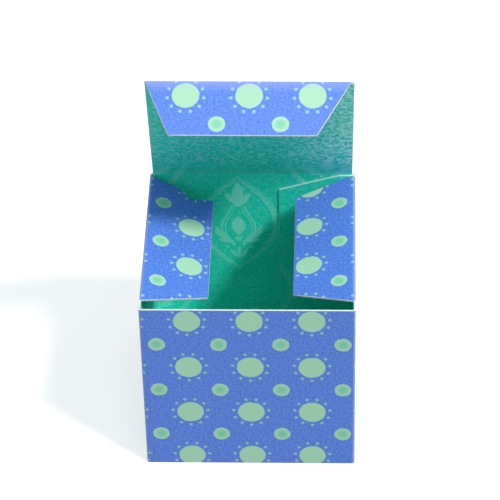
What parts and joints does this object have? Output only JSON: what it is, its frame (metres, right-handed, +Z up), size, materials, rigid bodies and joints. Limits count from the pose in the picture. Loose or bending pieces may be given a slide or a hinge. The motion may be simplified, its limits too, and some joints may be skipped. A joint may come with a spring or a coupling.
{
  "type": "tuck-top cube gift box",
  "caption": "Cube gift box folded and glued from printed card, open at the top, with dust flaps and a hinged lid that ends in a tuck flap.",
  "frame": {"origin": "centre of the bottom panel, on the surface that the box stands on", "axes": "+Z up, -Y out of the front wall, the lid's hinge along X at the back"},
  "size_m": [0.0382, 0.0382, 0.0704],
  "materials": {
    "dotted_card": "matte card, blue print with pale mint dots, white core at the cut edges",
    "damask_card": "matte card, the sheet's inner side, tone-on-tone green damask print"
  },
  "bodies": {
    "box": {"box_body": "dotted_card"},
    "lid": {"lid": "damask_card"},
    "tuck_flap": {"tuck_flap": "dotted_card"}
  },
  "joints": [
    {"name": "lid_hinge", "type": "hinge", "parent": "box", "child": "lid", "pos_m": [0, 0.01887, 0.03793], "axis": [-1, 0, 0], "range_deg": [-65, 115]},
    {"name": "tuck_crease", "type": "hinge", "parent": "lid", "child": "tuck_flap", "pos_m": [0, 0.0038, 0.07025], "axis": [1, 0, 0], "range_deg": [-90, 20]}
  ]
}
